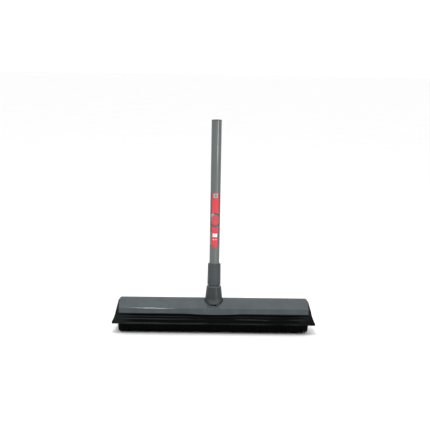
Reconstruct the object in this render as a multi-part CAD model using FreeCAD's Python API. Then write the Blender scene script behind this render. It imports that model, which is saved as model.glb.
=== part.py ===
import FreeCAD, Part
import math
import os

from FreeCAD import Vector

# Rubber-bristle carpet sweeper head with a squeegee lip, on the lower section of its handle.
# Millimetres. X runs along the head, -Y is the squeegee side, +Z is up. The origin is on the
# floor, in the middle of the footprint, straight below the pivot.

# ---- head
HEAD_Y = 7.0                # the head is set back, so that the lip's reach is balanced by it
COVER_HALF_LENGTH = 209.0
COVER_HALF_DEPTH = 34.0
COVER_BOTTOM = 45.0
COVER_SHOULDER = 56.0       # height of the edge between the upright skirt and the slope
COVER_TOP = 74.0
COVER_WALL = 2.5
SKIRT_LEAN = 0.8            # the skirt leans in by this much between its bottom and the shoulder
CREST_RADIUS = 16.0
SHOULDER_RADIUS = 3.5
CREST_HALF_LENGTH = 200.0
END_CORNER_RADIUS = 12.0
END_LEAN = math.radians(14)     # the head's ends lean outwards on their way down
END_FOOT = 43.0                 # below this height they are upright
APRON_HALF_LENGTH = 60.0    # the skirt's front edge bows down a little in the middle
APRON_DROP = 2.4
APRON_THICKNESS = 2.0
MASK_HALF_DEPTH = 60.0      # deeper than the head and the blade, for the masks that trim their ends
BOSS_RADIUS = 4.0
COVER_SCREW_X = (60.0, 170.0)
COVER_SCREW_LENGTH = 14.0
COVER_PILOT_DEPTH = 12.0    # depth of the screw holes in the cover's bosses

# ---- carrier for the rubber strips
CARRIER_HALF_DEPTH = 31.0
CARRIER_BOTTOM = 30.0
CARRIER_RIM = 50.0          # top of the rim that plugs into the cover
CARRIER_WALL = 2.5
CARRIER_FLOOR = 42.0        # top of the carrier's plate, inside the rim
STRIP_COUNT = 5
STRIP_PITCH = 11.5
SLOT_NECK_HALF = 2.2
SLOT_HEAD_HALF = 4.2
SLOT_LEDGE = 32.5
SLOT_ROOF = 36.0
OVERSHOOT = 1.0             # cutting tools start this far outside the body

# ---- rubber strips
TOOTH_PITCH = 5.0
TOOTH_ROOT = 3.8
TOOTH_TIP = 2.4
TOOTH_HALF_DEPTH = 3.5
TOOTH_TOP = 25.0
TOOTH_SHOULDER = 25.5       # underside of the strip's base, where it steps out to the end teeth
STRIP_FLARE = 212.5         # the end teeth reach a little past the end of the rail

# ---- end caps
CAP_BOTTOM = 26.0
CAP_SHOULDER = 54.0
CAP_TOP = 68.5
CAP_EDGE_RADIUS = 1.0
CAP_SCREW_SEAT = 5.0        # thickness of the cap under its screws' heads
CAP_SCREW_Y = 17.0
CAP_SCREW_LENGTH = 14.0
CAP_PILOT_DEPTH = 12.0      # depth of the screw holes in the carrier's ends

# ---- squeegee blade
BEAD_RADIUS = 2.2
BEAD_DEPTH = 3.5            # from the carrier's front face to the bead's centre
BEAD_HEIGHT = 39.2
BLADE_ROOT_TOP = 42.0
BLADE_ROOT_BOTTOM = 35.0
BLADE_REACH = 48.0          # lip's edge, in front of the head's middle
BLADE_EDGE_TOP = 25.4
BLADE_EDGE_BOTTOM = 23.6
BLADE_EDGE_DEPTH = 2.4      # the lip's thickness, front to back
BLADE_ROOT_STEP = 2.2       # the root is flat on top for this far, then falls away to the lip
BLADE_ROOT_FOOT = 1.6
BLADE_FLARE_MIDDLE = (2.4, 35.5)    # a point on the flared end: beyond the root, and height
BLADE_FLARE_BOTTOM = 28.0
BLADE_WEB_HALF = 1.0        # half the thickness of the web between the blade and its bead
BLADE_ROOT_HALF_LENGTH = 217.0
BLADE_HALF_LENGTH = 223.5
RIDGE_RADIUS = 1.3
RIDGE_PLACES = (0.12, 0.42, 0.80)

# ---- pivot
PIVOT_Z = 70.5
BELL_RADIUS = 19.6
BELL_TAPER = math.radians(5.8)
BELL_TOP = 103.3
BELL_RIM = 1.6              # chamfer round the bell's top
POCKET_CLEARANCE = 1.2
SWEEP_START = 2.0           # the bell's taper starts this far above the pivot
SWEEP_EASE = 0.3            # how much closer the pocket follows the bell's tapered back
SPIGOT_CLEARANCE = 0.5      # under the spigot, inside the bell
TONGUE_HALF = 6.0
TONGUE_HEAD_RADIUS = 10.0
TONGUE_NECK_HALF = 7.0
TONGUE_SIDE_GAP = 0.4       # between the tongue's sides and the cover
TONGUE_EDGE_GAP = 0.5       # between the tongue's front and back and the cover
TONGUE_STOP_GAP = 0.7       # between the tongue's neck and the bell's slot, at either tilt limit
TONGUE_HEAD_GAP = 1.0
FLANGE_HALF_LENGTH = 30.0
FLANGE_HALF_DEPTH = 16.0
FLANGE_TOP = 46.5
FLANGE_CORNER_RADIUS = 4.0
FLANGE_SCREW_X = 23.0
FLANGE_SCREW_Y = 10.0
FLANGE_PILOT_DEPTH = 5.0    # depth of the bracket's screw holes in the carrier's plate
WASHER_THICKNESS = 0.8
WASHER_RADIUS = 9.0
TILT_LIMIT = 45.0
BOLT_RADIUS = 2.5
BOLT_HOLE_RADIUS = 2.55
BOLT_SEAT = 13.5            # distance of the bolt head's and the nut's seats from the middle
BOLT_HEAD_RADIUS = 4.2
BOLT_HEAD_HEIGHT = 3.0
BOLT_HEAD_ROUNDING = 1.0
BOLT_KEY_ACROSS_FLATS = 3.0
BOLT_KEY_DEPTH = 1.6
BOLT_END = 0.8              # how far the bolt's end stands out of the nut
NUT_ACROSS_FLATS = 8.0
NUT_HEIGHT = 4.0
BOLT_POCKET_RADIUS = 4.9

# ---- handle
SOCKET_TOP = 153.0
SOCKET_SHOULDER = 106.5
SOCKET_BOTTOM_RADIUS = 14.8
SOCKET_TOP_RADIUS = 14.3
SOCKET_GROOVE_RADIUS = 12.6
SPIGOT_RADIUS = 9.95
SPIGOT_BOTTOM = 89.0
MOULDED_EDGE = 0.8          # chamfer on the socket's rims
THREAD_RADIUS = 9.5         # the thread is drawn as a cylinder at its pitch radius
THREAD_BOTTOM = 112.0
TUBE_SEAT = 140.0
TUBE_RADIUS = 11.1
TUBE_WALL = 0.7
TUBE_TOP = 470.0
TIP_TOP = 165.0
TIP_CHAMFER = 1.0
INSERT_BOTTOM = 434.0
INSERT_LIP = 1.2
INSERT_CHAMFER = 0.3
EXTENSION_RADIUS = 8.0
EXTENSION_DEPTH = 30.0
LABEL_BOTTOM = 192.0
LABEL_TOP = 311.5
LABEL_HALF_ANGLE = 60.0
LABEL_THICKNESS = 0.2

# ---- small self-tapping screws
SCREW_RADIUS = 1.75
SCREW_HEAD_RADIUS = 3.6
SCREW_HEAD_HEIGHT = 2.6
SCREW_HEAD_ROUNDING = 0.9
DRIVE_LENGTH = 3.6          # the cross recess in each head
DRIVE_WIDTH = 0.9
DRIVE_DEPTH = 1.3
SOCKET_SCREW_TIP_Y = 3.0
SOCKET_SCREW_SEAT_Y = 14.0
SCREW_TIP_GAP = 0.5         # left free under a screw's tip in a blind hole

MATCH = 0.05                # how closely an edge must lie where a fillet looks for it

AXIS_X = Vector(1, 0, 0)
AXIS_Y = Vector(0, 1, 0)
AXIS_Z = Vector(0, 0, 1)
PIVOT = Vector(0, 0, PIVOT_Z)
TUBE_BORE_RADIUS = TUBE_RADIUS - TUBE_WALL
STRIP_OFFSETS = [STRIP_PITCH * (i - (STRIP_COUNT - 1) / 2) for i in range(STRIP_COUNT)]


def box(x, y, z):
    """A block between the low and high value of each pair."""
    corner = Vector(x[0], y[0], z[0])
    return Part.makeBox(x[1] - x[0], y[1] - y[0], z[1] - z[0], corner)


def rod(start, axis, radius, length):
    return Part.makeCylinder(radius, length, start, axis)


def polygon_face(points):
    return Part.Face(Part.makePolygon(points + [points[0]]))


def prism(face, direction):
    return face.extrude(direction)


def revolved(outline):
    """The solid turned about the handle's axis from (radius, height) points, in order."""
    points = [Vector(radius, 0, height) for radius, height in outline]
    return polygon_face(points).revolve(Vector(0, 0, 0), AXIS_Z, 360)


def mirrored_x(shape):
    return shape.mirror(Vector(0, 0, 0), AXIS_X)


def edges_where(shape, test):
    return [edge for edge in shape.Edges if test(edge.BoundBox)]


def is_along_x(bounds, y, z):
    """Whether an edge runs along X at a height z and a distance y from the head's middle."""
    low = abs(abs(bounds.YMin - HEAD_Y) - y) < MATCH and abs(bounds.ZMin - z) < MATCH
    high = abs(abs(bounds.YMax - HEAD_Y) - y) < MATCH and abs(bounds.ZMax - z) < MATCH
    return low and high and bounds.XLength > COVER_HALF_LENGTH


# ---------------------------------------------------------------- cover

def roof_face(half_depth, bottom, shoulder, top, crest_radius, lean, x):
    """The head's end view: two upright sides, two slopes and a round crest, at one x."""
    centre_z = top - crest_radius
    side = half_depth - lean
    reach = math.hypot(side, centre_z - shoulder)
    slope = math.atan2(centre_z - shoulder, side) + math.asin(crest_radius / reach)
    tangent_y = crest_radius * math.sin(slope)
    tangent_z = centre_z + crest_radius * math.cos(slope)

    def at(y, z):
        return Vector(x, HEAD_Y + y, z)

    crest = Part.Arc(at(-tangent_y, tangent_z), at(0, top), at(tangent_y, tangent_z)).toShape()
    right = Part.makePolygon([at(tangent_y, tangent_z), at(side, shoulder), at(half_depth, bottom)])
    base = Part.makePolygon([at(half_depth, bottom), at(-half_depth, bottom)])
    left = Part.makePolygon([at(-half_depth, bottom), at(-side, shoulder), at(-tangent_y, tangent_z)])
    edges = [crest] + right.Edges + base.Edges + left.Edges
    return Part.Face(Part.Wire(edges))


def end_points(inset):
    """Half lengths and heights of the head's end in front view: crest end, corner, slope top, foot."""
    radius = END_CORNER_RADIUS - inset
    centre_z = COVER_TOP - END_CORNER_RADIUS
    middle = (math.pi / 2 + END_LEAN) / 2
    crest = (CREST_HALF_LENGTH, centre_z + radius)
    corner = (CREST_HALF_LENGTH + radius * math.cos(middle), centre_z + radius * math.sin(middle))
    slope = (CREST_HALF_LENGTH + radius * math.cos(END_LEAN), centre_z + radius * math.sin(END_LEAN))
    foot = (slope[0] + (slope[1] - END_FOOT) * math.tan(END_LEAN), END_FOOT)
    return crest, corner, slope, foot


def head_mask(inset):
    """The head's front view, as a block that is deeper than the head."""
    def at(x, z):
        return Vector(x, HEAD_Y - MASK_HALF_DEPTH, z)

    edges = []
    for side in (1, -1):
        crest, corner, slope, foot = (at(side * x, z) for x, z in end_points(inset))
        edges.append(Part.Arc(crest, corner, slope).toShape())
        edges += Part.makePolygon([slope, foot, at(foot.x, 0)]).Edges
    crest, foot = end_points(inset)[0], end_points(inset)[-1]
    edges.append(Part.makeLine(at(-crest[0], crest[1]), at(crest[0], crest[1])))
    edges.append(Part.makeLine(at(-foot[0], 0), at(foot[0], 0)))
    return prism(Part.Face(Part.Wire(Part.__sortEdges__(edges))), Vector(0, 2 * MASK_HALF_DEPTH, 0))


def cover_outside():
    face = roof_face(COVER_HALF_DEPTH, COVER_BOTTOM, COVER_SHOULDER, COVER_TOP,
                     CREST_RADIUS, SKIRT_LEAN, -COVER_HALF_LENGTH)
    solid = prism(face, Vector(2 * COVER_HALF_LENGTH, 0, 0))
    shoulder_y = COVER_HALF_DEPTH - SKIRT_LEAN
    shoulders = edges_where(solid, lambda b: is_along_x(b, shoulder_y, COVER_SHOULDER))
    solid = solid.makeFillet(SHOULDER_RADIUS, shoulders)
    return solid.common(head_mask(0))


def cover_cavity():
    slope = math.atan2(COVER_TOP - COVER_SHOULDER, COVER_HALF_DEPTH)
    shoulder = COVER_SHOULDER - COVER_WALL / math.cos(slope) + COVER_WALL * math.tan(slope)
    half_length = COVER_HALF_LENGTH - COVER_WALL
    face = roof_face(COVER_HALF_DEPTH - COVER_WALL, COVER_BOTTOM - OVERSHOOT, shoulder,
                     COVER_TOP - COVER_WALL, CREST_RADIUS - COVER_WALL, 0, -half_length)
    solid = prism(face, Vector(2 * half_length, 0, 0))
    return solid.common(head_mask(COVER_WALL))


def bell_sweep(clearance):
    """The room that the bell needs as it tilts: its round bottom, and its back at two tilts."""
    room = Part.makeSphere(BELL_RADIUS + clearance, PIVOT)
    length = BELL_TOP - PIVOT_Z - SWEEP_START
    start_radius = BELL_RADIUS + clearance - SWEEP_EASE
    end_radius = start_radius - length * math.tan(BELL_TAPER)
    for tilt in (TILT_LIMIT / 2, TILT_LIMIT):
        cone = Part.makeCone(start_radius, end_radius, length, PIVOT + AXIS_Z * SWEEP_START)
        cone.rotate(PIVOT, AXIS_X, -tilt)
        room = room.fuse(cone)
    return room


def cover_boss_places():
    """Each boss stands over the roof of a strip slot, so its screw goes in before the strip does."""
    lengths = [side * x for side in (-1, 1) for x in COVER_SCREW_X]
    return [(x, HEAD_Y + y) for x in lengths for y in (-STRIP_PITCH, STRIP_PITCH)]


def apron():
    """The shallow bow under the middle of the skirt's front edge."""
    front = HEAD_Y - COVER_HALF_DEPTH
    left = Vector(-APRON_HALF_LENGTH, front, COVER_BOTTOM)
    right = Vector(APRON_HALF_LENGTH, front, COVER_BOTTOM)
    middle = Vector(0, front, COVER_BOTTOM - APRON_DROP)
    bow = Part.Arc(left, middle, right).toShape()
    chord = Part.LineSegment(right, left).toShape()
    return prism(Part.Face(Part.Wire([bow, chord])), Vector(0, APRON_THICKNESS, 0))


def head_cover():
    outside = cover_outside()
    cover = outside.cut(cover_cavity())
    pocket_wall = bell_sweep(POCKET_CLEARANCE + COVER_WALL).common(outside)
    cover = cover.fuse(pocket_wall)
    for x, y in cover_boss_places():
        boss = rod(Vector(x, y, CARRIER_FLOOR), AXIS_Z, BOSS_RADIUS, COVER_TOP - CARRIER_FLOOR)
        cover = cover.fuse(boss.common(outside.fuse(cover_cavity())))
    cover = cover.fuse(apron())
    cover = cover.cut(bell_sweep(POCKET_CLEARANCE))
    slot_x = TONGUE_HALF + TONGUE_SIDE_GAP
    slot_y = TONGUE_NECK_HALF + TONGUE_EDGE_GAP
    cover = cover.cut(box((-slot_x, slot_x), (-slot_y, slot_y), (FLANGE_TOP, PIVOT_Z)))
    for x, y in cover_boss_places():
        cover = cover.cut(rod(Vector(x, y, CARRIER_FLOOR), AXIS_Z, SCREW_RADIUS, COVER_PILOT_DEPTH))
    return cover.removeSplitter()


# ---------------------------------------------------------------- carrier, strips and end caps

def strip_slot(y):
    reach = (-COVER_HALF_LENGTH - OVERSHOOT, COVER_HALF_LENGTH + OVERSHOOT)
    foot = CARRIER_BOTTOM - OVERSHOOT
    neck = box(reach, (y - SLOT_NECK_HALF, y + SLOT_NECK_HALF), (foot, SLOT_LEDGE))
    head = box(reach, (y - SLOT_HEAD_HALF, y + SLOT_HEAD_HALF), (SLOT_LEDGE, SLOT_ROOF))
    return neck.fuse(head)


def bead_places():
    front = HEAD_Y - CARRIER_HALF_DEPTH
    return front, front + BEAD_DEPTH


def brush_carrier():
    length = (-COVER_HALF_LENGTH, COVER_HALF_LENGTH)
    rim_half = COVER_HALF_LENGTH - COVER_WALL - 0.5
    depth = (HEAD_Y - CARRIER_HALF_DEPTH, HEAD_Y + CARRIER_HALF_DEPTH)
    block = box(length, depth, (CARRIER_BOTTOM, COVER_BOTTOM))
    rim = box((-rim_half, rim_half), depth, (COVER_BOTTOM, CARRIER_RIM))
    room_half = rim_half - CARRIER_WALL
    room_depth = (depth[0] + CARRIER_WALL, depth[1] - CARRIER_WALL)
    room = box((-room_half, room_half), room_depth, (CARRIER_FLOOR, CARRIER_RIM + OVERSHOOT))
    carrier = block.fuse(rim).cut(room)
    for offset in STRIP_OFFSETS:
        carrier = carrier.cut(strip_slot(HEAD_Y + offset))
    front, bead_y = bead_places()
    start = -COVER_HALF_LENGTH - OVERSHOOT
    span = -2 * start
    carrier = carrier.cut(rod(Vector(start, bead_y, BEAD_HEIGHT), AXIS_X, BEAD_RADIUS, span))
    web = (BEAD_HEIGHT - BLADE_WEB_HALF, BEAD_HEIGHT + BLADE_WEB_HALF)
    carrier = carrier.cut(box((start, start + span), (front - OVERSHOOT, bead_y), web))
    plate = CARRIER_FLOOR - SLOT_ROOF
    for x, y in cover_boss_places():
        roof = Vector(x, y, SLOT_ROOF)
        carrier = carrier.cut(rod(roof, AXIS_Z, SCREW_RADIUS, plate + OVERSHOOT))
        carrier = carrier.cut(rod(roof, AXIS_Z, SCREW_HEAD_RADIUS, SCREW_HEAD_HEIGHT))
    for x, y in flange_screw_places():
        pilot = Vector(x, y, CARRIER_FLOOR - FLANGE_PILOT_DEPTH)
        carrier = carrier.cut(rod(pilot, AXIS_Z, SCREW_RADIUS, FLANGE_PILOT_DEPTH + OVERSHOOT))
    for x, y, side in cap_screw_places():
        inner = Vector(x - side * CAP_PILOT_DEPTH, y, cap_screw_height())
        carrier = carrier.cut(rod(inner, AXIS_X * side, SCREW_RADIUS, CAP_PILOT_DEPTH + OVERSHOOT))
    return carrier.removeSplitter()


def comb_outline():
    """Front view of one strip's teeth, from the left end to the right, tips on the floor."""
    points = [Vector(-COVER_HALF_LENGTH, 0, CARRIER_BOTTOM)]
    count = int(2 * COVER_HALF_LENGTH // TOOTH_PITCH)
    first = -TOOTH_PITCH * (count - 1) / 2
    for i in range(count):
        middle = first + i * TOOTH_PITCH
        left = middle - TOOTH_ROOT / 2
        right = middle + TOOTH_ROOT / 2
        if i == 0:
            left = -STRIP_FLARE
            points.append(Vector(-COVER_HALF_LENGTH, 0, TOOTH_SHOULDER))
        if i == count - 1:
            right = STRIP_FLARE
        points.append(Vector(left, 0, TOOTH_TOP))
        points.append(Vector(middle - TOOTH_TIP / 2, 0, 0))
        points.append(Vector(middle + TOOTH_TIP / 2, 0, 0))
        points.append(Vector(right, 0, TOOTH_TOP))
    points.append(Vector(COVER_HALF_LENGTH, 0, TOOTH_SHOULDER))
    points.append(Vector(COVER_HALF_LENGTH, 0, CARRIER_BOTTOM))
    return points


def bristle_strip(offset):
    """A comb of rubber teeth with a T rail along its root."""
    y = HEAD_Y + offset
    length = (-COVER_HALF_LENGTH, COVER_HALF_LENGTH)
    comb = prism(polygon_face(comb_outline()), Vector(0, 2 * TOOTH_HALF_DEPTH, 0))
    comb.translate(Vector(0, y - TOOTH_HALF_DEPTH, 0))
    neck = box(length, (y - SLOT_NECK_HALF, y + SLOT_NECK_HALF), (CARRIER_BOTTOM, SLOT_LEDGE))
    head = box(length, (y - SLOT_HEAD_HALF, y + SLOT_HEAD_HALF), (SLOT_LEDGE, SLOT_ROOF))
    return comb.fuse(neck).fuse(head).removeSplitter()


def cap_screw_height():
    return (SLOT_ROOF + CARRIER_FLOOR) / 2


def cap_screw_places():
    """(x of the carrier's end, y, which way is outward) of each end cap screw."""
    places = []
    for side in (-1, 1):
        for y in (-CAP_SCREW_Y, CAP_SCREW_Y):
            places.append((side * COVER_HALF_LENGTH, HEAD_Y + y, side))
    return places


def cap_rim(cap, outer):
    """The edges round the cap's outer side: its crest and slopes, its uprights and its foot."""
    rim = []
    for edge in cap.Edges:
        bounds = edge.BoundBox
        if bounds.XMin < COVER_HALF_LENGTH + MATCH:
            continue
        on_crest = bounds.ZMin > CAP_SHOULDER - MATCH
        upright = bounds.YLength < MATCH
        on_foot = bounds.ZMax < CAP_BOTTOM + MATCH and bounds.XMin > outer - MATCH
        if on_crest or upright or on_foot:
            rim.append(edge)
    return rim


def end_cap():
    """The cap on the +X end."""
    face = roof_face(CARRIER_HALF_DEPTH, CAP_BOTTOM, CAP_SHOULDER, CAP_TOP, CREST_RADIUS, 0,
                     COVER_HALF_LENGTH)
    outer = end_points(0)[-1][0]
    cap = prism(face, Vector(outer - COVER_HALF_LENGTH, 0, 0)).common(head_mask(0))
    cap = cap.makeFillet(CAP_EDGE_RADIUS, cap_rim(cap, outer))
    for x, y, side in cap_screw_places():
        if side > 0:
            centre = Vector(x, y, cap_screw_height())
            cap = cap.cut(rod(centre, AXIS_X, SCREW_RADIUS, CAP_SCREW_SEAT))
            seat = centre + AXIS_X * CAP_SCREW_SEAT
            cap = cap.cut(rod(seat, AXIS_X, SCREW_HEAD_RADIUS, CAP_SCREW_SEAT))
    return cap


# ---------------------------------------------------------------- squeegee

def blade_mask():
    """Front view of the blade: its ends flare outwards towards the edge."""
    def at(x, z):
        return Vector(x, HEAD_Y - MASK_HALF_DEPTH, z)

    above = BLADE_ROOT_TOP + OVERSHOOT
    below = BLADE_EDGE_BOTTOM - OVERSHOOT
    edges = []
    for side in (1, -1):
        root = at(side * BLADE_ROOT_HALF_LENGTH, above)
        middle = at(side * (BLADE_ROOT_HALF_LENGTH + BLADE_FLARE_MIDDLE[0]), BLADE_FLARE_MIDDLE[1])
        flare = at(side * BLADE_HALF_LENGTH, BLADE_FLARE_BOTTOM)
        edges.append(Part.Arc(root, middle, flare).toShape())
        edges.append(Part.makeLine(flare, at(side * BLADE_HALF_LENGTH, below)))
    edges.append(Part.makeLine(at(-BLADE_HALF_LENGTH, below), at(BLADE_HALF_LENGTH, below)))
    edges.append(Part.makeLine(at(-BLADE_ROOT_HALF_LENGTH, above), at(BLADE_ROOT_HALF_LENGTH, above)))
    return prism(Part.Face(Part.Wire(Part.__sortEdges__(edges))), Vector(0, 2 * MASK_HALF_DEPTH, 0))


def squeegee_blade():
    front, bead_y = bead_places()
    start = -BLADE_HALF_LENGTH
    span = 2 * BLADE_HALF_LENGTH
    edge_y = HEAD_Y - BLADE_REACH

    def at(y, z):
        return Vector(start, y, z)

    top = at(front - BLADE_ROOT_STEP, BLADE_ROOT_TOP - 1.0)
    lip = at(edge_y, BLADE_EDGE_TOP)
    flap = polygon_face([
        at(front, BLADE_ROOT_TOP), top, lip,
        at(edge_y + 0.6, BLADE_EDGE_BOTTOM), at(edge_y + BLADE_EDGE_DEPTH, BLADE_EDGE_BOTTOM + 0.4),
        at(front - BLADE_ROOT_FOOT, BLADE_ROOT_BOTTOM), at(front, BLADE_ROOT_BOTTOM),
    ])
    blade = prism(flap, Vector(span, 0, 0))
    for place in RIDGE_PLACES:
        centre = top + (lip - top) * place
        blade = blade.fuse(rod(centre, AXIS_X, RIDGE_RADIUS, span))
    blade = blade.common(blade_mask())
    rail = (-COVER_HALF_LENGTH, COVER_HALF_LENGTH)
    web = box(rail, (front, bead_y), (BEAD_HEIGHT - BLADE_WEB_HALF, BEAD_HEIGHT + BLADE_WEB_HALF))
    bead = rod(Vector(rail[0], bead_y, BEAD_HEIGHT), AXIS_X, BEAD_RADIUS, rail[1] - rail[0])
    return blade.fuse(web).fuse(bead).removeSplitter()


# ---------------------------------------------------------------- pivot

def flange_screw_places():
    return [(x, y) for x in (-FLANGE_SCREW_X, FLANGE_SCREW_X) for y in (-FLANGE_SCREW_Y, FLANGE_SCREW_Y)]


def pivot_bracket():
    """The flange screwed to the carrier, and the tongue that the bell tilts on."""
    flange = box((-FLANGE_HALF_LENGTH, FLANGE_HALF_LENGTH), (-FLANGE_HALF_DEPTH, FLANGE_HALF_DEPTH),
                 (CARRIER_FLOOR, FLANGE_TOP))
    corners = edges_where(flange, lambda b: b.ZLength > MATCH)
    flange = flange.makeFillet(FLANGE_CORNER_RADIUS, corners)
    neck = box((-TONGUE_HALF, TONGUE_HALF), (-TONGUE_NECK_HALF, TONGUE_NECK_HALF),
               (CARRIER_FLOOR, PIVOT_Z))
    head = rod(Vector(-TONGUE_HALF, 0, PIVOT_Z), AXIS_X, TONGUE_HEAD_RADIUS, 2 * TONGUE_HALF)
    bracket = flange.fuse(neck).fuse(head)
    hole = rod(Vector(-TONGUE_HALF, 0, PIVOT_Z), AXIS_X, BOLT_HOLE_RADIUS, 2 * TONGUE_HALF)
    bracket = bracket.cut(hole)
    for x, y in flange_screw_places():
        foot = Vector(x, y, CARRIER_FLOOR)
        bracket = bracket.cut(rod(foot, AXIS_Z, SCREW_RADIUS, FLANGE_TOP - CARRIER_FLOOR))
    return bracket.removeSplitter()


def tongue_room():
    """The room inside the bell for the tongue's round head, and for its neck at either limit."""
    half = TONGUE_HALF + WASHER_THICKNESS
    reach = 2 * BELL_RADIUS
    limit = math.radians(TILT_LIMIT)
    neck = TONGUE_NECK_HALF + TONGUE_STOP_GAP
    near_y = neck * math.cos(limit)
    near_z = neck * math.sin(limit)
    far_y = near_y + reach * math.sin(limit)
    far_z = near_z - reach * math.cos(limit)
    sector = polygon_face([
        Vector(-half, -near_y, PIVOT_Z + near_z), Vector(-half, near_y, PIVOT_Z + near_z),
        Vector(-half, far_y, PIVOT_Z + far_z), Vector(-half, far_y, PIVOT_Z - reach),
        Vector(-half, -far_y, PIVOT_Z - reach), Vector(-half, -far_y, PIVOT_Z + far_z),
    ])
    round_room = rod(Vector(-half, 0, PIVOT_Z), AXIS_X, TONGUE_HEAD_RADIUS + TONGUE_HEAD_GAP, 2 * half)
    return prism(sector, Vector(2 * half, 0, 0)).fuse(round_room)


def pivot_yoke():
    """The bell under the handle socket: a round cup with a slot for the tongue."""
    tangent_radius = BELL_RADIUS * math.cos(BELL_TAPER)
    tangent_z = PIVOT_Z + BELL_RADIUS * math.sin(BELL_TAPER)
    top_radius = tangent_radius - (BELL_TOP - tangent_z) * math.tan(BELL_TAPER)
    low = BELL_RADIUS * math.sqrt(0.5)
    dome = Part.Arc(Vector(0, 0, PIVOT_Z - BELL_RADIUS), Vector(low, 0, PIVOT_Z - low),
                    Vector(tangent_radius, 0, tangent_z)).toShape()
    floor_z = SPIGOT_BOTTOM - SPIGOT_CLEARANCE
    rest = Part.makePolygon([
        Vector(tangent_radius, 0, tangent_z), Vector(top_radius, 0, BELL_TOP - BELL_RIM),
        Vector(top_radius - BELL_RIM, 0, BELL_TOP), Vector(SPIGOT_RADIUS, 0, BELL_TOP),
        Vector(SPIGOT_RADIUS, 0, floor_z), Vector(0, 0, floor_z), Vector(0, 0, PIVOT_Z - BELL_RADIUS),
    ])
    face = Part.Face(Part.Wire([dome] + rest.Edges))
    yoke = face.revolve(Vector(0, 0, 0), AXIS_Z, 360)
    yoke = yoke.cut(tongue_room())
    yoke = yoke.cut(rod(Vector(-BELL_RADIUS, 0, PIVOT_Z), AXIS_X, BOLT_RADIUS, 2 * BELL_RADIUS))
    for side in (-1, 1):
        seat = Vector(side * BOLT_SEAT, 0, PIVOT_Z)
        yoke = yoke.cut(rod(seat, AXIS_X * side, BOLT_POCKET_RADIUS, BELL_RADIUS))
    start, seat_y = socket_screw_places()
    yoke = yoke.cut(rod(start, AXIS_Y, SCREW_RADIUS, BELL_RADIUS))
    yoke = yoke.cut(rod(Vector(0, seat_y, start.z), AXIS_Y, SCREW_HEAD_RADIUS, BELL_RADIUS))
    return yoke


def friction_washer(side):
    start = Vector(side * TONGUE_HALF, 0, PIVOT_Z)
    disc = rod(start, AXIS_X * side, WASHER_RADIUS, WASHER_THICKNESS)
    return disc.cut(rod(start, AXIS_X * side, BOLT_RADIUS, WASHER_THICKNESS))


def pivot_bolt():
    shank_length = 2 * BOLT_SEAT + NUT_HEIGHT + BOLT_END
    shank = rod(Vector(-BOLT_SEAT, 0, PIVOT_Z), AXIS_X, BOLT_RADIUS, shank_length)
    face_x = -BOLT_SEAT - BOLT_HEAD_HEIGHT
    head = rod(Vector(face_x, 0, PIVOT_Z), AXIS_X, BOLT_HEAD_RADIUS, BOLT_HEAD_HEIGHT)
    head = head.makeFillet(BOLT_HEAD_ROUNDING, edges_where(head, lambda b: b.XMax < face_x + MATCH))
    key = hexagon(face_x, BOLT_KEY_ACROSS_FLATS, BOLT_KEY_DEPTH)
    return shank.fuse(head).cut(key).removeSplitter()


def hexagon(x, across_flats, height):
    """A hexagonal prism about the pivot axis, from x outwards in +X."""
    corner = across_flats / math.sqrt(3)
    points = []
    for i in range(6):
        angle = math.radians(60 * i)
        points.append(Vector(x, corner * math.cos(angle), PIVOT_Z + corner * math.sin(angle)))
    return prism(polygon_face(points), Vector(height, 0, 0))


def pivot_nut():
    nut = hexagon(BOLT_SEAT, NUT_ACROSS_FLATS, NUT_HEIGHT)
    return nut.cut(rod(Vector(BOLT_SEAT, 0, PIVOT_Z), AXIS_X, BOLT_RADIUS, NUT_HEIGHT))


# ---------------------------------------------------------------- handle

def socket_screw_places():
    """Where the screw from the bell's back into the socket's spigot starts, and its head's seat."""
    height = (SPIGOT_BOTTOM + BELL_TOP) / 2
    return Vector(0, SOCKET_SCREW_TIP_Y, height), SOCKET_SCREW_SEAT_Y


def handle_socket():
    foot = SOCKET_SHOULDER - MOULDED_EDGE
    body = revolved([
        (0, SPIGOT_BOTTOM), (SPIGOT_RADIUS, SPIGOT_BOTTOM), (SPIGOT_RADIUS, BELL_TOP),
        (SOCKET_GROOVE_RADIUS, BELL_TOP), (SOCKET_GROOVE_RADIUS, foot),
        (SOCKET_BOTTOM_RADIUS - MOULDED_EDGE / 2, foot), (SOCKET_BOTTOM_RADIUS, SOCKET_SHOULDER),
        (SOCKET_TOP_RADIUS, SOCKET_TOP - MOULDED_EDGE), (SOCKET_TOP_RADIUS - MOULDED_EDGE, SOCKET_TOP),
        (TUBE_RADIUS, SOCKET_TOP), (TUBE_RADIUS, TUBE_SEAT), (THREAD_RADIUS, TUBE_SEAT),
        (THREAD_RADIUS, THREAD_BOTTOM), (0, THREAD_BOTTOM),
    ])
    start, seat_y = socket_screw_places()
    return body.cut(rod(start, AXIS_Y, SCREW_RADIUS, seat_y))


def handle_tip():
    """The threaded plug pressed into the tube's lower end."""
    foot = THREAD_BOTTOM + TIP_CHAMFER
    return revolved([
        (0, foot), (THREAD_RADIUS - TIP_CHAMFER, foot),
        (THREAD_RADIUS, foot + TIP_CHAMFER), (THREAD_RADIUS, TUBE_SEAT),
        (TUBE_BORE_RADIUS, TUBE_SEAT), (TUBE_BORE_RADIUS, TIP_TOP - TIP_CHAMFER),
        (TUBE_BORE_RADIUS - TIP_CHAMFER, TIP_TOP), (0, TIP_TOP),
    ])


def handle_tube():
    length = TUBE_TOP - INSERT_LIP - TUBE_SEAT
    seat = Vector(0, 0, TUBE_SEAT)
    return rod(seat, AXIS_Z, TUBE_RADIUS, length).cut(rod(seat, AXIS_Z, TUBE_BORE_RADIUS, length))


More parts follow.
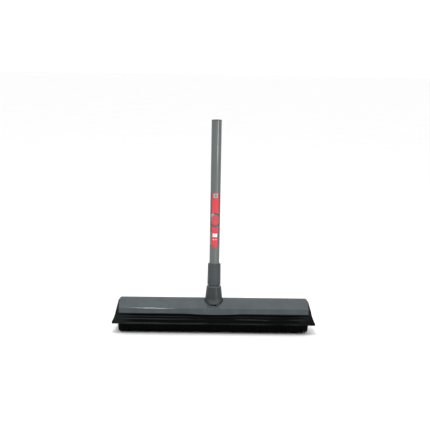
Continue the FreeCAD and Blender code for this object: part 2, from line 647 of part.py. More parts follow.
def tube_top_insert():
    """The lipped plug in the tube's top, with the bore for the next section of the handle."""
    return revolved([
        (0, INSERT_BOTTOM), (TUBE_BORE_RADIUS, INSERT_BOTTOM), (TUBE_BORE_RADIUS, TUBE_TOP - INSERT_LIP),
        (TUBE_RADIUS, TUBE_TOP - INSERT_LIP), (TUBE_RADIUS, TUBE_TOP - INSERT_CHAMFER),
        (TUBE_RADIUS - INSERT_CHAMFER, TUBE_TOP), (EXTENSION_RADIUS, TUBE_TOP),
        (EXTENSION_RADIUS, TUBE_TOP - EXTENSION_DEPTH), (0, TUBE_TOP - EXTENSION_DEPTH),
    ])


def handle_label():
    """A thin curved sheet on the tube's front."""
    start = -90 - LABEL_HALF_ANGLE
    base = Vector(0, 0, LABEL_BOTTOM)
    height = LABEL_TOP - LABEL_BOTTOM
    sheet = Part.makeCylinder(TUBE_RADIUS + LABEL_THICKNESS, height, base, AXIS_Z, 2 * LABEL_HALF_ANGLE)
    sheet.rotate(base, AXIS_Z, start)
    return sheet.cut(rod(base, AXIS_Z, TUBE_RADIUS, height))


# ---------------------------------------------------------------- screws

def screw(seat, inward, length):
    """A pan-head screw: its head stands out from the seat, its shank runs inward from it."""
    shank = rod(seat, inward, SCREW_RADIUS, length)
    head = rod(seat, inward * -1, SCREW_HEAD_RADIUS, SCREW_HEAD_HEIGHT)
    top = seat - inward * SCREW_HEAD_HEIGHT
    rim = [edge for edge in head.Edges if abs((edge.CenterOfMass - top).dot(inward)) < MATCH]
    head = head.makeFillet(SCREW_HEAD_ROUNDING, rim)
    across = inward.cross(AXIS_X)
    if across.Length < 0.5:
        across = inward.cross(AXIS_Y)
    across.normalize()
    for direction in (across, inward.cross(across)):
        slot = Part.makeBox(DRIVE_LENGTH, DRIVE_WIDTH, DRIVE_DEPTH)
        slot.translate(Vector(-DRIVE_LENGTH / 2, -DRIVE_WIDTH / 2, 0))
        turn = FreeCAD.Rotation(direction, inward.cross(direction), inward, "XZY")
        slot.Placement = FreeCAD.Placement(top, turn).multiply(slot.Placement)
        head = head.cut(slot)
    return shank.fuse(head)


def cover_screws():
    seat_z = SLOT_ROOF + SCREW_HEAD_HEIGHT
    return [screw(Vector(x, y, seat_z), AXIS_Z, COVER_SCREW_LENGTH) for x, y in cover_boss_places()]


def bracket_screws():
    length = FLANGE_TOP - CARRIER_FLOOR + FLANGE_PILOT_DEPTH - SCREW_TIP_GAP
    return [screw(Vector(x, y, FLANGE_TOP), AXIS_Z * -1, length) for x, y in flange_screw_places()]


def end_cap_screws():
    screws = []
    for x, y, side in cap_screw_places():
        seat = Vector(x + side * CAP_SCREW_SEAT, y, cap_screw_height())
        screws.append(screw(seat, AXIS_X * -side, CAP_SCREW_LENGTH))
    return screws


def socket_screw():
    start, seat_y = socket_screw_places()
    return screw(Vector(0, seat_y, start.z), AXIS_Y * -1, seat_y - start.y - SCREW_TIP_GAP)


# ---------------------------------------------------------------- the whole sweeper

def nodes():
    cap = end_cap()
    made = {
        "head_cover": head_cover(),
        "brush_carrier": brush_carrier(),
        "end_cap_left": mirrored_x(cap),
        "end_cap_right": cap,
        "squeegee_blade": squeegee_blade(),
        "pivot_bracket": pivot_bracket(),
        "pivot_yoke": pivot_yoke(),
        "friction_washer_left": friction_washer(-1),
        "friction_washer_right": friction_washer(1),
        "pivot_bolt": pivot_bolt(),
        "pivot_nut": pivot_nut(),
        "handle_socket": handle_socket(),
        "handle_tip": handle_tip(),
        "handle_tube": handle_tube(),
        "tube_top_insert": tube_top_insert(),
        "handle_label": handle_label(),
        "socket_screw": socket_screw(),
        "cover_screws": Part.makeCompound(cover_screws()),
        "bracket_screws": Part.makeCompound(bracket_screws()),
        "end_cap_screws": Part.makeCompound(end_cap_screws()),
    }
    for number, offset in enumerate(STRIP_OFFSETS, start=1):
        made["bristle_strip_%d" % number] = bristle_strip(offset)
    return made


os.makedirs("parts", exist_ok=True)
for name, shape in nodes().items():
    shape.exportStep("parts/%s.step" % name)
    print(name, "solids", len(shape.Solids), "valid", shape.isValid(), "volume", round(shape.Volume))
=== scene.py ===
import math
import random

import bmesh
import bpy
from mathutils import Matrix, Vector


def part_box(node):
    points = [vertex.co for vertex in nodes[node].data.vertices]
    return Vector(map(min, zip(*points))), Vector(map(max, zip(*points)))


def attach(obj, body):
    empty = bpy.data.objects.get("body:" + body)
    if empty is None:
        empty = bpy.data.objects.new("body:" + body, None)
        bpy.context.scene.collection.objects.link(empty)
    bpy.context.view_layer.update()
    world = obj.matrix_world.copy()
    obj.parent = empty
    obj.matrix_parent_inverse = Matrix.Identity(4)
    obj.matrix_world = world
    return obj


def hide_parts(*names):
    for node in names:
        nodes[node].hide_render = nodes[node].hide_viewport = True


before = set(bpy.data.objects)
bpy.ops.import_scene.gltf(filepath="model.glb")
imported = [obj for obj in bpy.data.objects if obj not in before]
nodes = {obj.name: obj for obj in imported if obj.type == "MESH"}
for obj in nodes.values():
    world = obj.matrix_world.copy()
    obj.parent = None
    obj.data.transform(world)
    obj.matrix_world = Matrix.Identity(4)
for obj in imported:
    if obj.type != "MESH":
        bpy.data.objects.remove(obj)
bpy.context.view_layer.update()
MM = 0.001

# how far below the bell's top its painted reflection at the foot starts and ends, and its painted
# highlight round the rim starts and is full
FOOT_SHEEN_LOW, FOOT_SHEEN_HIGH = 41 * MM, 26 * MM
RIM_HIGHLIGHT_LOW, RIM_HIGHLIGHT_HIGH = 1.9 * MM, 1.5 * MM
# on the lip: how far its painted highlight bands wander, where they fade at its ends, and where its dark
# patches set in
BAND_WANDER = 1.1 * MM
WING_SPAN = (0.180, 0.205)
PATCH_SPAN = (-0.11, -0.03)


# ---------------------------------------------------------------- node helpers

def new_material(name, roughness=0.5, metallic=0.0, coat=0.0, coat_roughness=0.1, specular=0.5):
    """A new Principled material: the material, its node tree and its shader."""
    material = bpy.data.materials.new(name)
    material.use_nodes = True
    tree = material.node_tree
    shader = tree.nodes["Principled BSDF"]
    shader.inputs["Roughness"].default_value = roughness
    shader.inputs["Metallic"].default_value = metallic
    shader.inputs["Coat Weight"].default_value = coat
    shader.inputs["Coat Roughness"].default_value = coat_roughness
    shader.inputs["Specular IOR Level"].default_value = specular
    return material, tree, shader


def object_coords(tree, scale=(1, 1, 1)):
    coords = tree.nodes.new("ShaderNodeTexCoord")
    mapping = tree.nodes.new("ShaderNodeMapping")
    mapping.inputs["Scale"].default_value = scale
    tree.links.new(coords.outputs["Object"], mapping.inputs["Vector"])
    return mapping.outputs["Vector"]


def noise_field(tree, vector, scale, detail=3.0, roughness=0.5):
    field = tree.nodes.new("ShaderNodeTexNoise")
    field.inputs["Scale"].default_value = scale
    field.inputs["Detail"].default_value = detail
    field.inputs["Roughness"].default_value = roughness
    tree.links.new(vector, field.inputs["Vector"])
    return field.outputs["Fac"]


def ramp(tree, value, stops):
    """A colour ramp with (position, colour) stops."""
    node = tree.nodes.new("ShaderNodeValToRGB")
    elements = node.color_ramp.elements
    elements[0].position, elements[0].color = stops[0][0], (*stops[0][1], 1)
    elements[1].position, elements[1].color = stops[-1][0], (*stops[-1][1], 1)
    for position, color in stops[1:-1]:
        element = elements.new(position)
        element.color = (*color, 1)
    tree.links.new(value, node.inputs["Fac"])
    return node.outputs["Color"]


def remap(tree, value, low, high, to_low, to_high):
    node = tree.nodes.new("ShaderNodeMapRange")
    node.inputs["From Min"].default_value = low
    node.inputs["From Max"].default_value = high
    node.inputs["To Min"].default_value = to_low
    node.inputs["To Max"].default_value = to_high
    tree.links.new(value, node.inputs["Value"])
    return node.outputs["Result"]


def math_node(tree, operation, a, b=None, clamp=False):
    node = tree.nodes.new("ShaderNodeMath")
    node.operation = operation
    node.use_clamp = clamp
    for socket, value in zip(node.inputs, (a, b)):
        if value is None:
            continue
        if isinstance(value, (int, float)):
            socket.default_value = value
        else:
            tree.links.new(value, socket)
    return node.outputs[0]


def mix_color(tree, factor, a, b, blend="MIX"):
    node = tree.nodes.new("ShaderNodeMix")
    node.data_type = "RGBA"
    node.blend_type = blend
    for socket, value in ((node.inputs["Factor"], factor), (node.inputs["A"], a), (node.inputs["B"], b)):
        if isinstance(value, tuple):
            socket.default_value = (*value, 1)
        elif isinstance(value, (int, float)):
            socket.default_value = value
        else:
            tree.links.new(value, socket)
    return node.outputs["Result"]


def bump(tree, shader, height, strength, distance):
    node = tree.nodes.new("ShaderNodeBump")
    node.inputs["Strength"].default_value = strength
    node.inputs["Distance"].default_value = distance
    tree.links.new(height, node.inputs["Height"])
    tree.links.new(node.outputs["Normal"], shader.inputs["Normal"])


# ---------------------------------------------------------------- materials

def moulded_plastic(name, dark, light, roughness, grain, coat=0.0, specular=0.4, coat_roughness=0.07):
    """Moulded plastic: faint cloudy colour, fine surface grain and uneven polish."""
    material, tree, shader = new_material(name, roughness=roughness, coat=coat,
                                          coat_roughness=coat_roughness, specular=specular)
    vector = object_coords(tree)
    cloud = noise_field(tree, vector, 38, detail=4)
    tree.links.new(ramp(tree, cloud, [(0.35, dark), (0.65, light)]), shader.inputs["Base Color"])
    smear = noise_field(tree, object_coords(tree, (0.35, 1, 1)), 95, detail=5)
    tree.links.new(remap(tree, smear, 0.3, 0.7, roughness * 0.82, roughness * 1.2),
                   shader.inputs["Roughness"])
    fine = noise_field(tree, vector, 2600, detail=2)
    bump(tree, shader, fine, grain, 0.00006)
    return material


def bell_plastic(name):
    """The bell's plastic: paler towards its foot, a painted reflection off its flare, and a painted
    highlight round its top rim.
    """
    material = moulded_plastic(name, (0.018, 0.021, 0.023), (0.034, 0.039, 0.041), 0.36, 0.2, 0.35, 0.1,
                               coat_roughness=0.2)
    tree = material.node_tree
    base = tree.nodes["Principled BSDF"].inputs["Base Color"]
    plain = base.links[0].from_socket
    split = tree.nodes.new("ShaderNodeSeparateXYZ")
    tree.links.new(object_coords(tree), split.inputs["Vector"])
    foot = remap(tree, split.outputs["Z"], BELL_HIGH.z - FOOT_SHEEN_LOW, BELL_HIGH.z - FOOT_SHEEN_HIGH, 1.0, 0.0)
    rim = remap(tree, split.outputs["Z"], BELL_HIGH.z - RIM_HIGHLIGHT_LOW, BELL_HIGH.z - RIM_HIGHLIGHT_HIGH, 0.0, 0.7)
    # painted reflection: paler towards the bell's foot
    color = mix_color(tree, foot, plain, (0.062, 0.070, 0.073))
    # painted highlight: paler round the bell's top rim
    tree.links.new(mix_color(tree, rim, color, (0.080, 0.090, 0.094)), base)
    return material


def black_rubber(name, roughness=0.5):
    """Soft black rubber with a dry bloom and faint streaks from the mould."""
    material, tree, shader = new_material(name, roughness=roughness, specular=0.05)
    vector = object_coords(tree)
    bloom = noise_field(tree, vector, 120, detail=6, roughness=0.6)
    color = ramp(tree, bloom, [(0.3, (0.0012, 0.0013, 0.0013)), (0.7, (0.0026, 0.0029, 0.0029))])
    tree.links.new(color, shader.inputs["Base Color"])
    streak = noise_field(tree, object_coords(tree, (0.08, 1, 1)), 420, detail=3)
    tree.links.new(remap(tree, streak, 0.3, 0.7, roughness * 0.85, roughness * 1.15),
                   shader.inputs["Roughness"])
    bump(tree, shader, noise_field(tree, vector, 1800, detail=3), 0.35, 0.0001)
    return material


def blade_rubber(name):
    """The squeegee's rubber: painted shade, near black, in its grooves and under the cover, and painted
    highlights, dull grey, on the ridges and the edge.
    """
    material, tree, shader = new_material(name, roughness=0.46, specular=0.015)
    vector = object_coords(tree)
    split = tree.nodes.new("ShaderNodeSeparateXYZ")
    tree.links.new(vector, split.inputs["Vector"])
    wander = noise_field(tree, object_coords(tree, (0.12, 0.3, 0.3)), 130, detail=5, roughness=0.65)
    shift = remap(tree, wander, 0.2, 0.8, -BAND_WANDER, BAND_WANDER)
    height = math_node(tree, "ADD", split.outputs["Z"], shift)
    level = remap(tree, height, BLADE_LOW.z, BLADE_HIGH.z, 0.0, 1.0)
    # bands of painted highlight on the ridges and the lip's edge, and painted shade in the grooves and
    # under the cover
    groove_shade = (0.0005, 0.0006, 0.0006)
    wear_and_highlight = (0.0185, 0.0215, 0.0220)
    dim_highlight = (0.0125, 0.0145, 0.0150)
    faint_highlight = (0.0035, 0.0038, 0.0038)
    bands = ramp(tree, level, [
        (0.0, wear_and_highlight), (0.15, wear_and_highlight), (0.20, groove_shade), (0.27, faint_highlight), (0.34, groove_shade), (0.46, groove_shade),
        (0.52, wear_and_highlight), (0.59, wear_and_highlight), (0.64, groove_shade), (0.73, groove_shade), (0.79, dim_highlight), (0.84, dim_highlight),
        (0.89, groove_shade), (1.0, groove_shade),
    ])
    ends = math_node(tree, "ABSOLUTE", split.outputs["X"])
    flat = remap(tree, ends, *WING_SPAN, 0.0, 1.0)
    color = mix_color(tree, flat, bands, (0.0085, 0.0100, 0.0102))
    patches = noise_field(tree, object_coords(tree, (0.25, 1, 1)), 48, detail=4)
    smooth = remap(tree, patches, 0.42, 0.58, 0.25, 0.9)
    rightward = remap(tree, split.outputs["X"], *PATCH_SPAN, 0.12, 1.0)
    smooth = math_node(tree, "MULTIPLY", smooth, rightward)
    color = mix_color(tree, smooth, color, (0.0016, 0.0018, 0.0018))
    tree.links.new(color, shader.inputs["Base Color"])
    streak = noise_field(tree, object_coords(tree, (0.08, 1, 1)), 420, detail=3)
    tree.links.new(remap(tree, streak, 0.3, 0.7, 0.40, 0.54), shader.inputs["Roughness"])
    grain = noise_field(tree, object_coords(tree, (0.25, 1, 1)), 1200, detail=3)
    bump(tree, shader, grain, 0.35, 0.0001)
    return material


def painted_tube():
    """Grey baked paint over steel: fine orange peel and faint lengthwise rub marks."""
    material, tree, shader = new_material("tube_paint", roughness=0.36, metallic=0.35, coat=0.4,
                                          coat_roughness=0.10, specular=0.05)
    vector = object_coords(tree)
    marks = noise_field(tree, object_coords(tree, (1, 1, 0.02)), 900, detail=4)
    color = ramp(tree, marks, [(0.3, (0.098, 0.107, 0.105)), (0.7, (0.124, 0.135, 0.132))])
    tree.links.new(color, shader.inputs["Base Color"])
    tree.links.new(remap(tree, marks, 0.3, 0.7, 0.30, 0.40), shader.inputs["Roughness"])
    bump(tree, shader, noise_field(tree, vector, 1100, detail=2), 0.25, 0.00008)
    return material


def zinc_steel():
    material, tree, shader = new_material("zinc_steel", roughness=0.32, metallic=1.0)
    vector = object_coords(tree)
    spangle = noise_field(tree, vector, 700, detail=4)
    color = ramp(tree, spangle, [(0.3, (0.40, 0.40, 0.41)), (0.7, (0.56, 0.56, 0.57))])
    tree.links.new(color, shader.inputs["Base Color"])
    tree.links.new(remap(tree, spangle, 0.3, 0.7, 0.25, 0.42), shader.inputs["Roughness"])
    bump(tree, shader, noise_field(tree, vector, 3000, detail=2), 0.2, 0.00005)
    return material


def studio_floor():
    material, tree, shader = new_material("studio_floor", roughness=0.9)
    field = noise_field(tree, object_coords(tree), 6, detail=2)
    tree.links.new(ramp(tree, field, [(0.3, (0.895, 0.895, 0.895)), (0.7, (0.91, 0.91, 0.91))]),
                   shader.inputs["Base Color"])
    return material


def label_film():
    """A printed film: red strip with dark edges, a round badge and plain pale shapes, no lettering.
    Positions are millimetres round the tube (u) and above the label's foot (v)."""
    material, tree, shader = new_material("label_film", roughness=0.32, coat=0.3, coat_roughness=0.15,
                                          specular=0.1)
    coords = tree.nodes.new("ShaderNodeTexCoord")
    split = tree.nodes.new("ShaderNodeSeparateXYZ")
    tree.links.new(coords.outputs["Object"], split.inputs["Vector"])
    front = math_node(tree, "MULTIPLY", split.outputs["Y"], -1.0)
    angle = math_node(tree, "ARCTAN2", split.outputs["X"], front)
    u = math_node(tree, "MULTIPLY", angle, TUBE_RADIUS / MM)
    v = math_node(tree, "MULTIPLY", math_node(tree, "SUBTRACT", split.outputs["Z"], LABEL_FOOT), 1 / MM)

    def distance(axis, middle):
        return math_node(tree, "ABSOLUTE", math_node(tree, "SUBTRACT", axis, middle))

    def block(middle_u, middle_v, half_u, half_v):
        inside_u = math_node(tree, "LESS_THAN", distance(u, middle_u), half_u)
        inside_v = math_node(tree, "LESS_THAN", distance(v, middle_v), half_v)
        return math_node(tree, "MULTIPLY", inside_u, inside_v)

    def disc(middle_u, middle_v, radius_u, radius_v):
        across = math_node(tree, "POWER", math_node(tree, "DIVIDE", distance(u, middle_u), radius_u), 2.0)
        along = math_node(tree, "POWER", math_node(tree, "DIVIDE", distance(v, middle_v), radius_v), 2.0)
        return math_node(tree, "LESS_THAN", math_node(tree, "ADD", across, along), 1.0)

    badge = (0, 59.5)
    vector = coords.outputs["Object"]
    wear_and_highlight = noise_field(tree, vector, 160, detail=5)
    red = ramp(tree, wear_and_highlight, [(0.3, (0.50, 0.040, 0.050)), (0.7, (0.58, 0.052, 0.064))])
    edge = (0.060, 0.085, 0.092)
    pale = (0.25, 0.30, 0.30)
    white = (0.66, 0.70, 0.69)
    color = mix_color(tree, block(0, LABEL_HEIGHT / 2, 7.4, LABEL_HEIGHT), edge, red)
    color = mix_color(tree, block(0.2, 113.0, 5.0, 4.6), color, pale)
    color = mix_color(tree, block(0.2, 113.0, 2.4, 2.4), color, (0.14, 0.18, 0.18))
    color = mix_color(tree, disc(*badge, 10.8, 16.3), color, edge)
    color = mix_color(tree, disc(*badge, 9.6, 11.6), color, red)
    flecks = math_node(tree, "GREATER_THAN", noise_field(tree, vector, 420, detail=2), 0.50)
    flecks = math_node(tree, "MULTIPLY", flecks, disc(*badge, 9.0, 11.0))
    color = mix_color(tree, math_node(tree, "MULTIPLY", flecks, 0.55), color, (0.13, 0.11, 0.12))
    crescent = math_node(tree, "SUBTRACT", disc(-5.6, 69, 4.2, 5.0), disc(-3.4, 65.5, 4.0, 4.8),
                         clamp=True)
    color = mix_color(tree, crescent, color, pale)
    color = mix_color(tree, block(-10.2, 18, 0.8, 15), color, pale)
    for middle_u in (-2.6, 2.6):
        color = mix_color(tree, block(middle_u, 25.7, 2.3, 3.9), color, white)
        color = mix_color(tree, disc(middle_u - 0.3, 16.3, 1.1, 1.4), color, white)
    tree.links.new(color, shader.inputs["Base Color"])
    tree.links.new(remap(tree, wear_and_highlight, 0.3, 0.7, 0.26, 0.38), shader.inputs["Roughness"])
    bump(tree, shader, noise_field(tree, vector, 900, detail=2), 0.15, 0.00005)
    return material


def dress(node, material):
    """Gives a CAD node its material."""
    data = nodes[node].data
    data.materials.clear()
    data.materials.append(material)


# ---------------------------------------------------------------- places, from the CAD nodes

LABEL_LOW, LABEL_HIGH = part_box("handle_label")
LABEL_FOOT = LABEL_LOW.z
LABEL_HEIGHT = (LABEL_HIGH.z - LABEL_LOW.z) / MM
TUBE_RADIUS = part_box("handle_tube")[1].x
CARRIER_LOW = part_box("brush_carrier")[0]
BLADE_LOW, BLADE_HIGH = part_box("squeegee_blade")
BELL_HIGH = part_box("pivot_yoke")[1]

COVER = moulded_plastic("cover_plastic", (0.036, 0.046, 0.051), (0.045, 0.056, 0.061), 0.36, 0.05,
                        coat=0.5, specular=0.05)
BLACK = moulded_plastic("black_plastic", (0.002, 0.002, 0.0025), (0.004, 0.004, 0.0045), 0.42, 0.3,
                        specular=0.12)
BELL = bell_plastic("bell_plastic")
SOCKET = moulded_plastic("socket_plastic", (0.036, 0.042, 0.045), (0.045, 0.052, 0.055), 0.36, 0.25,
                         specular=0.25)
NYLON = moulded_plastic("nylon", (0.62, 0.61, 0.57), (0.70, 0.69, 0.65), 0.4, 0.2)
RUBBER = black_rubber("black_rubber")
BLADE_RUBBER = blade_rubber("blade_rubber")
TUBE = painted_tube()
STEEL = zinc_steel()
LABEL = label_film()

for node, material in {
    "head_cover": COVER, "brush_carrier": BLACK, "end_cap_left": BLACK, "end_cap_right": BLACK,
    "pivot_bracket": BLACK, "pivot_yoke": BELL, "handle_socket": SOCKET, "tube_top_insert": SOCKET,
    "handle_tip": BLACK, "handle_tube": TUBE, "pivot_bolt": STEEL, "pivot_nut": STEEL,
    "friction_washer_left": NYLON, "friction_washer_right": NYLON, "cover_screws": STEEL,
    "bracket_screws": STEEL, "end_cap_screws": STEEL, "socket_screw": STEEL,
}.items():
    dress(node, material)


# ---------------------------------------------------------------- mesh helpers

def finish_piece(name, builder, material, body, smooth_angle=35):
    """Makes an object from a bmesh, shades it smooth up to an angle, and sets what it rides on."""
    bmesh.ops.recalc_face_normals(builder, faces=builder.faces)
    for face in builder.faces:
        face.smooth = True
    limit = math.radians(smooth_angle)
    for edge in builder.edges:
        if len(edge.link_faces) == 2 and edge.calc_face_angle(0) > limit:
            edge.smooth = False
    mesh = bpy.data.meshes.new(name)
    builder.to_mesh(mesh)
    builder.free()
    mesh.materials.append(material)
    piece = bpy.data.objects.new(name, mesh)
    bpy.context.scene.collection.objects.link(piece)
    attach(piece, body)
    return piece


def skin(builder, rings, cap_ends=True):
    """Faces between closed rings of points that have the same count; fills the ends if asked."""
    loops = [[builder.verts.new(point) for point in ring] for ring in rings]
    count = len(loops[0])
    for near, far in zip(loops, loops[1:]):
        for i in range(count):
            j = (i + 1) % count
            builder.faces.new((near[i], near[j], far[j], far[i]))
    if cap_ends:
        builder.faces.new(list(reversed(loops[0])))
        builder.faces.new(loops[-1])
    return loops


def rounded_bar(builder, low, high, radius, steps=3):
    """A bar along X with rounded long edges."""
    corners = ((high.y - radius, high.z - radius, 0), (low.y + radius, high.z - radius, 90),
               (low.y + radius, low.z + radius, 180), (high.y - radius, low.z + radius, 270))
    section = []
    for y, z, start in corners:
        for step in range(steps + 1):
            angle = math.radians(start + 90 * step / steps)
            section.append((y + radius * math.cos(angle), z + radius * math.sin(angle)))
    skin(builder, [[(x, y, z) for y, z in section] for x in (low.x, high.x)])


# ---------------------------------------------------------------- rubber bristles

BRISTLE_SIDES = 8
BRISTLE_PITCH = 4.0 * MM
BRISTLE_ROOT = 1.75 * MM
BRISTLE_TIP = 1.15 * MM
ROW_OFFSET = 2.6 * MM
BASE_DEPTH = 3.2 * MM           # rubber base below the carrier
BASE_HALF_WIDTH = 5.4 * MM
NECK_HALF_WIDTH = 2.1 * MM      # the narrow part in the carrier's slot, below its rail
END_MARGIN = 1.2 * MM
SPLAY = 1.6 * MM                # how far the outermost bristles lean inwards
BRISTLE_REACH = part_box("bristle_strip_1")[1].x - BRISTLE_ROOT


def bristle(builder, root, tip, bend):
    """One tapered rubber bristle with a rounded tip, bowed a little to one side."""
    rings = []
    for along in (0.0, 0.12, 0.4, 0.7, 0.93, 0.985):
        radius = BRISTLE_ROOT + (BRISTLE_TIP - BRISTLE_ROOT) * along
        if along == 0.0:
            radius *= 1.35
        if along > 0.95:
            radius *= 0.72
        middle = root.lerp(tip, along) + bend * math.sin(math.pi * along)
        ring = []
        for side in range(BRISTLE_SIDES):
            angle = 2 * math.pi * side / BRISTLE_SIDES
            ring.append(middle + Vector((radius * math.cos(angle), radius * math.sin(angle), 0)))
        rings.append(ring)
    loops = skin(builder, rings, cap_ends=False)
    builder.faces.new(loops[0])
    end = builder.verts.new(tip)
    for i in range(BRISTLE_SIDES):
        builder.faces.new((loops[-1][i], loops[-1][(i + 1) % BRISTLE_SIDES], end))


def worn_corner(x):
    """How far the bristles near either end have worn short, which rounds the corners of the block."""
    length, depth = (11 * MM, 7 * MM) if x > 0 else (6 * MM, 3.5 * MM)
    near = max(abs(x) - (BRISTLE_REACH - length), 0.0) / length
    return depth * near ** 2


def bristle_strip(number):
    """A rubber strip: its rail in the carrier, its base, and two staggered rows of bristles."""
    node = "bristle_strip_%d" % number
    low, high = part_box(node)
    middle_y = (low.y + high.y) / 2
    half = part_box("head_cover")[1].x
    base_top = CARRIER_LOW.z
    base_low = base_top - BASE_DEPTH
    builder = bmesh.new()
    rounded_bar(builder, Vector((-half, middle_y - BASE_HALF_WIDTH, base_low)),
                Vector((half, middle_y + BASE_HALF_WIDTH, base_top)), 0.9 * MM)
    rounded_bar(builder, Vector((-half, low.y + 0.2 * MM, base_top + 2.6 * MM)),
                Vector((half, high.y - 0.2 * MM, high.z)), 0.5 * MM)
    rounded_bar(builder, Vector((-half, middle_y - NECK_HALF_WIDTH, base_top - 0.5 * MM)),
                Vector((half, middle_y + NECK_HALF_WIDTH, base_top + 3 * MM)), 0.3 * MM)
    count = int(2 * BRISTLE_REACH / BRISTLE_PITCH)
    for row, offset in enumerate((-ROW_OFFSET, ROW_OFFSET)):
        shift = 0.25 if row == (number % 2) else -0.25
        for i in range(count):
            place = (i - (count - 1) / 2 + shift) / ((count - 1) / 2 + 0.25)
            x = place * (BRISTLE_REACH - END_MARGIN)
            y = middle_y + offset
            lean = Vector((random.uniform(-0.35, 0.35), random.uniform(-0.5, 0.5), 0)) * MM
            splay = Vector((-SPLAY * place ** 9, offset * 0.12, 0))
            height = random.uniform(0.0, 0.55) * MM + worn_corner(x)
            root = Vector((x, y, base_low + 0.2 * MM))
            tip = Vector((x, y, height)) + lean + splay
            bend = Vector((random.uniform(-0.25, 0.25), random.uniform(-0.3, 0.3), 0)) * MM
            bristle(builder, root, tip, bend)
    piece = finish_piece("rubber_bristles_%d" % number, builder, RUBBER, "root", 60)
    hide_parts(node)


random.seed(11)
for number in range(1, 6):
    bristle_strip(number)


# ---------------------------------------------------------------- squeegee blade

FLARE_TOP = 43.0 * MM
FLARE_FOOT = 28.0 * MM
ROOT_HALF_LENGTH = 217.0 * MM
LIP_HALF_LENGTH = BLADE_HIGH.x - 0.2 * MM
BLADE_FRONT = CARRIER_LOW.y
BLADE_EDGE = BLADE_LOW.y + 0.15 * MM
RIDGES = ((0.12, 0.065, 1.15), (0.42, 0.06, 1.05), (0.80, 0.055, 0.8))    # place, width, height in mm
FREE_FROM = 38 * MM             # below this height the rubber is free to wave
WAVE = 0.22 * MM
BLADE_STEPS = 150
FACE_STEPS = 40
BACK_STEPS = 8


def blade_half_length(z):
    """The blade's half length at a height: nearly square at its root, flared towards its edge."""
    drop = min(max((FLARE_TOP - z) / (FLARE_TOP - FLARE_FOOT), 0.0), 1.0)
    return ROOT_HALF_LENGTH + (LIP_HALF_LENGTH - ROOT_HALF_LENGTH) * drop ** 1.9


def blade_section(ridge):
    """(y, z) points round the blade: its ridged front from the root to the edge, then its back."""
    top = (BLADE_FRONT - 2.2 * MM, 41.0 * MM)
    lip = (BLADE_EDGE, 25.4 * MM)
    away = Vector((lip[1] - top[1], top[0] - lip[0])).normalized()
    points = [(BLADE_FRONT, 42.0 * MM), (BLADE_FRONT - 1.3 * MM, 41.9 * MM)]
    for i in range(FACE_STEPS + 1):
        t = i / FACE_STEPS
        height = -0.5 * MM * math.sin(math.pi * t)
        for place, width, tall in RIDGES:
            height += ridge * tall * MM * math.exp(-((t - place) / width) ** 2)
        base = (top[0] + (lip[0] - top[0]) * t, top[1] + (lip[1] - top[1]) * t)
        points.append((base[0] + away.x * height, base[1] + away.y * height))
    points += [(BLADE_EDGE + 0.1 * MM, 24.4 * MM), (BLADE_EDGE + 0.7 * MM, 23.75 * MM),
               (BLADE_EDGE + 1.6 * MM, 23.75 * MM), (BLADE_EDGE + 2.5 * MM, 24.2 * MM)]
    back = (BLADE_FRONT - 1.6 * MM, 35.0 * MM)
    start = points[-1]
    for i in range(1, BACK_STEPS + 1):
        t = i / BACK_STEPS
        points.append((start[0] + (back[0] - start[0]) * t, start[1] + (back[1] - start[1]) * t))
    points.append((BLADE_FRONT, 35.0 * MM))
    return points


def squeegee_blade():
    """The ridged lip, whose ridges fade towards its ends, and the rail that holds it in the carrier."""
    builder = bmesh.new()
    rings = []
    for i in range(BLADE_STEPS + 1):
        t = -1 + 2 * i / BLADE_STEPS
        t = math.copysign(1 - (1 - abs(t)) ** 1.25, t)
        fade = min(max((0.93 - abs(t)) / 0.22, 0.0), 1.0)
        ridge = fade * fade * (3 - 2 * fade)
        ring = []
        for y, z in blade_section(ridge):
            half = blade_half_length(z)
            free = min(max((FREE_FROM - z) / (14 * MM), 0.0), 1.0)
            wave = free * WAVE * math.sin(t * 17 + 0.6) * math.sin(t * 7.3)
            ring.append((t * half, y, z + wave))
        rings.append(ring)
    skin(builder, rings)
    rail_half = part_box("head_cover")[1].x
    rounded_bar(builder, Vector((-rail_half, BLADE_FRONT - 0.5 * MM, 38.3 * MM)),
                Vector((rail_half, BLADE_FRONT + 3 * MM, 40.1 * MM)), 0.2 * MM)
    rounded_bar(builder, Vector((-rail_half, BLADE_FRONT + 1.4 * MM, 37.1 * MM)),
                Vector((rail_half, BLADE_FRONT + 5.6 * MM, 41.3 * MM)), 2.0 * MM, steps=5)
    piece = finish_piece("squeegee_lip", builder, BLADE_RUBBER, "root", 50)
    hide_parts("squeegee_blade")


squeegee_blade()


# ---------------------------------------------------------------- label

def handle_label():
    """The film wrapped on the tube's front, with rounded corners."""
    builder = bmesh.new()
    half_angle = math.asin(min(LABEL_HIGH.x / (TUBE_RADIUS + 0.2 * MM), 1.0))
    corner = 2.5 * MM
    across, along = 36, 60
    inner = TUBE_RADIUS + 0.02 * MM
    outer = TUBE_RADIUS + 0.17 * MM
    rings = []
    for j in range(along + 1):
        z = LABEL_LOW.z + (LABEL_HIGH.z - LABEL_LOW.z) * j / along
        near_end = max(corner - min(z - LABEL_LOW.z, LABEL_HIGH.z - z), 0.0)
        inset = corner - math.sqrt(max(corner ** 2 - near_end ** 2, 0.0))
        limit = half_angle - inset / outer
        film = []
        for radius, order in ((outer, range(across + 1)), (inner, range(across, -1, -1))):
            for i in order:
                angle = limit * (2 * i / across - 1)
                film.append((radius * math.sin(angle), -radius * math.cos(angle), z))
        rings.append(film)
    skin(builder, rings)
    piece = finish_piece("label_film", builder, LABEL, "handle", 40)
    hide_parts("handle_label")


handle_label()


# ---------------------------------------------------------------- floor, light and camera

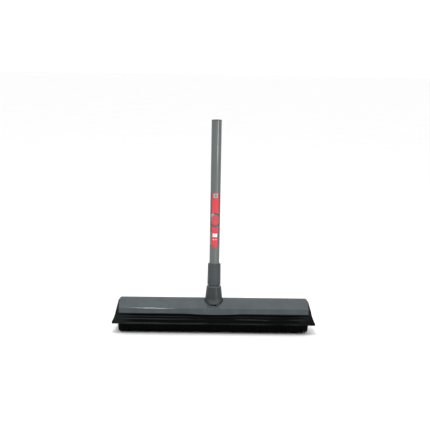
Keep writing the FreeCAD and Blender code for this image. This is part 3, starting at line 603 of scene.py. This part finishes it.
def floor():
    """A plain pale plane, large enough to pass for the background as well."""
    mesh = bpy.data.meshes.new("floor")
    builder = bmesh.new()
    half = 14.0
    builder.faces.new([builder.verts.new((x, y, 0)) for x, y in
                       ((-half, -half), (half, -half), (half, half), (-half, half))])
    builder.to_mesh(mesh)
    builder.free()
    piece = bpy.data.objects.new("floor", mesh)
    bpy.context.scene.collection.objects.link(piece)
    mesh.materials.append(studio_floor())


def area_light(name, place, target, size, power):
    data = bpy.data.lights.new(name, "AREA")
    data.shape = "RECTANGLE"
    data.size, data.size_y = size
    data.energy = power
    light = bpy.data.objects.new(name, data)
    light.location = place
    aim = Vector(target) - Vector(place)
    light.rotation_euler = aim.to_track_quat("-Z", "Y").to_euler()
    bpy.context.scene.collection.objects.link(light)


def sky_strength(tree):
    """A light tent: brightest overhead and behind, dimmer at both sides, which models round shapes."""
    coords = tree.nodes.new("ShaderNodeTexCoord")
    split = tree.nodes.new("ShaderNodeSeparateXYZ")
    tree.links.new(coords.outputs["Generated"], split.inputs["Vector"])
    across = math_node(tree, "POWER", math_node(tree, "ABSOLUTE", split.outputs["X"]), 2.0)
    upward = math_node(tree, "POWER", math_node(tree, "ABSOLUTE", split.outputs["Z"]), 2.0)
    total = math_node(tree, "ADD", math_node(tree, "MULTIPLY", upward, 0.40), 1.02)
    total = math_node(tree, "SUBTRACT", total, math_node(tree, "MULTIPLY", across, 0.55))
    return math_node(tree, "ADD", total, math_node(tree, "MULTIPLY", split.outputs["Y"], 0.06))


def lights():
    world = bpy.data.worlds.new("studio")
    world.use_nodes = True
    background = world.node_tree.nodes["Background"]
    background.inputs["Color"].default_value = (1, 1, 1, 1)
    world.node_tree.links.new(sky_strength(world.node_tree), background.inputs["Strength"])
    bpy.context.scene.world = world
    bpy.context.scene.view_settings.view_transform = "Standard"
    area_light("top", (0.1, 0.1, 2.3), (0, 0, 0.1), (2.2, 1.6), 7)
    area_light("glint", (-0.20, -1.1, 1.9), (-0.13, 0, 0.06), (0.12, 0.14), 17)
    area_light("strip", (1.06, -1.46, 0.26), (0, 0, 0.4), (0.07, 0.14), 5.5)


def camera(azimuth, elevation, roll, distance, lens, target):
    """Looks at target from an azimuth and elevation in degrees; the lens is in mm on a 36 mm sensor."""
    data = bpy.data.cameras.new("camera")
    data.sensor_width = 36
    data.lens = lens
    data.clip_end = 50
    view = bpy.data.objects.new("camera", data)
    azimuth, elevation, roll = (math.radians(a) for a in (azimuth, elevation, roll))
    forward = Vector((math.sin(azimuth) * math.cos(elevation), math.cos(azimuth) * math.cos(elevation),
                      -math.sin(elevation)))
    right = Vector((math.cos(azimuth), -math.sin(azimuth), 0))
    up = right.cross(forward)
    rolled_right = math.cos(roll) * right + math.sin(roll) * up
    rolled_up = math.cos(roll) * up - math.sin(roll) * right
    turn = Matrix((rolled_right, rolled_up, -forward)).transposed().to_4x4()
    view.matrix_world = Matrix.Translation(Vector(target) - distance * forward) @ turn
    bpy.context.scene.collection.objects.link(view)
    bpy.context.scene.camera = view


floor()
lights()
camera(1.4, 9.0, 1.0, 2.63, 100.2977, (-0.0003, 0, 0.2610))
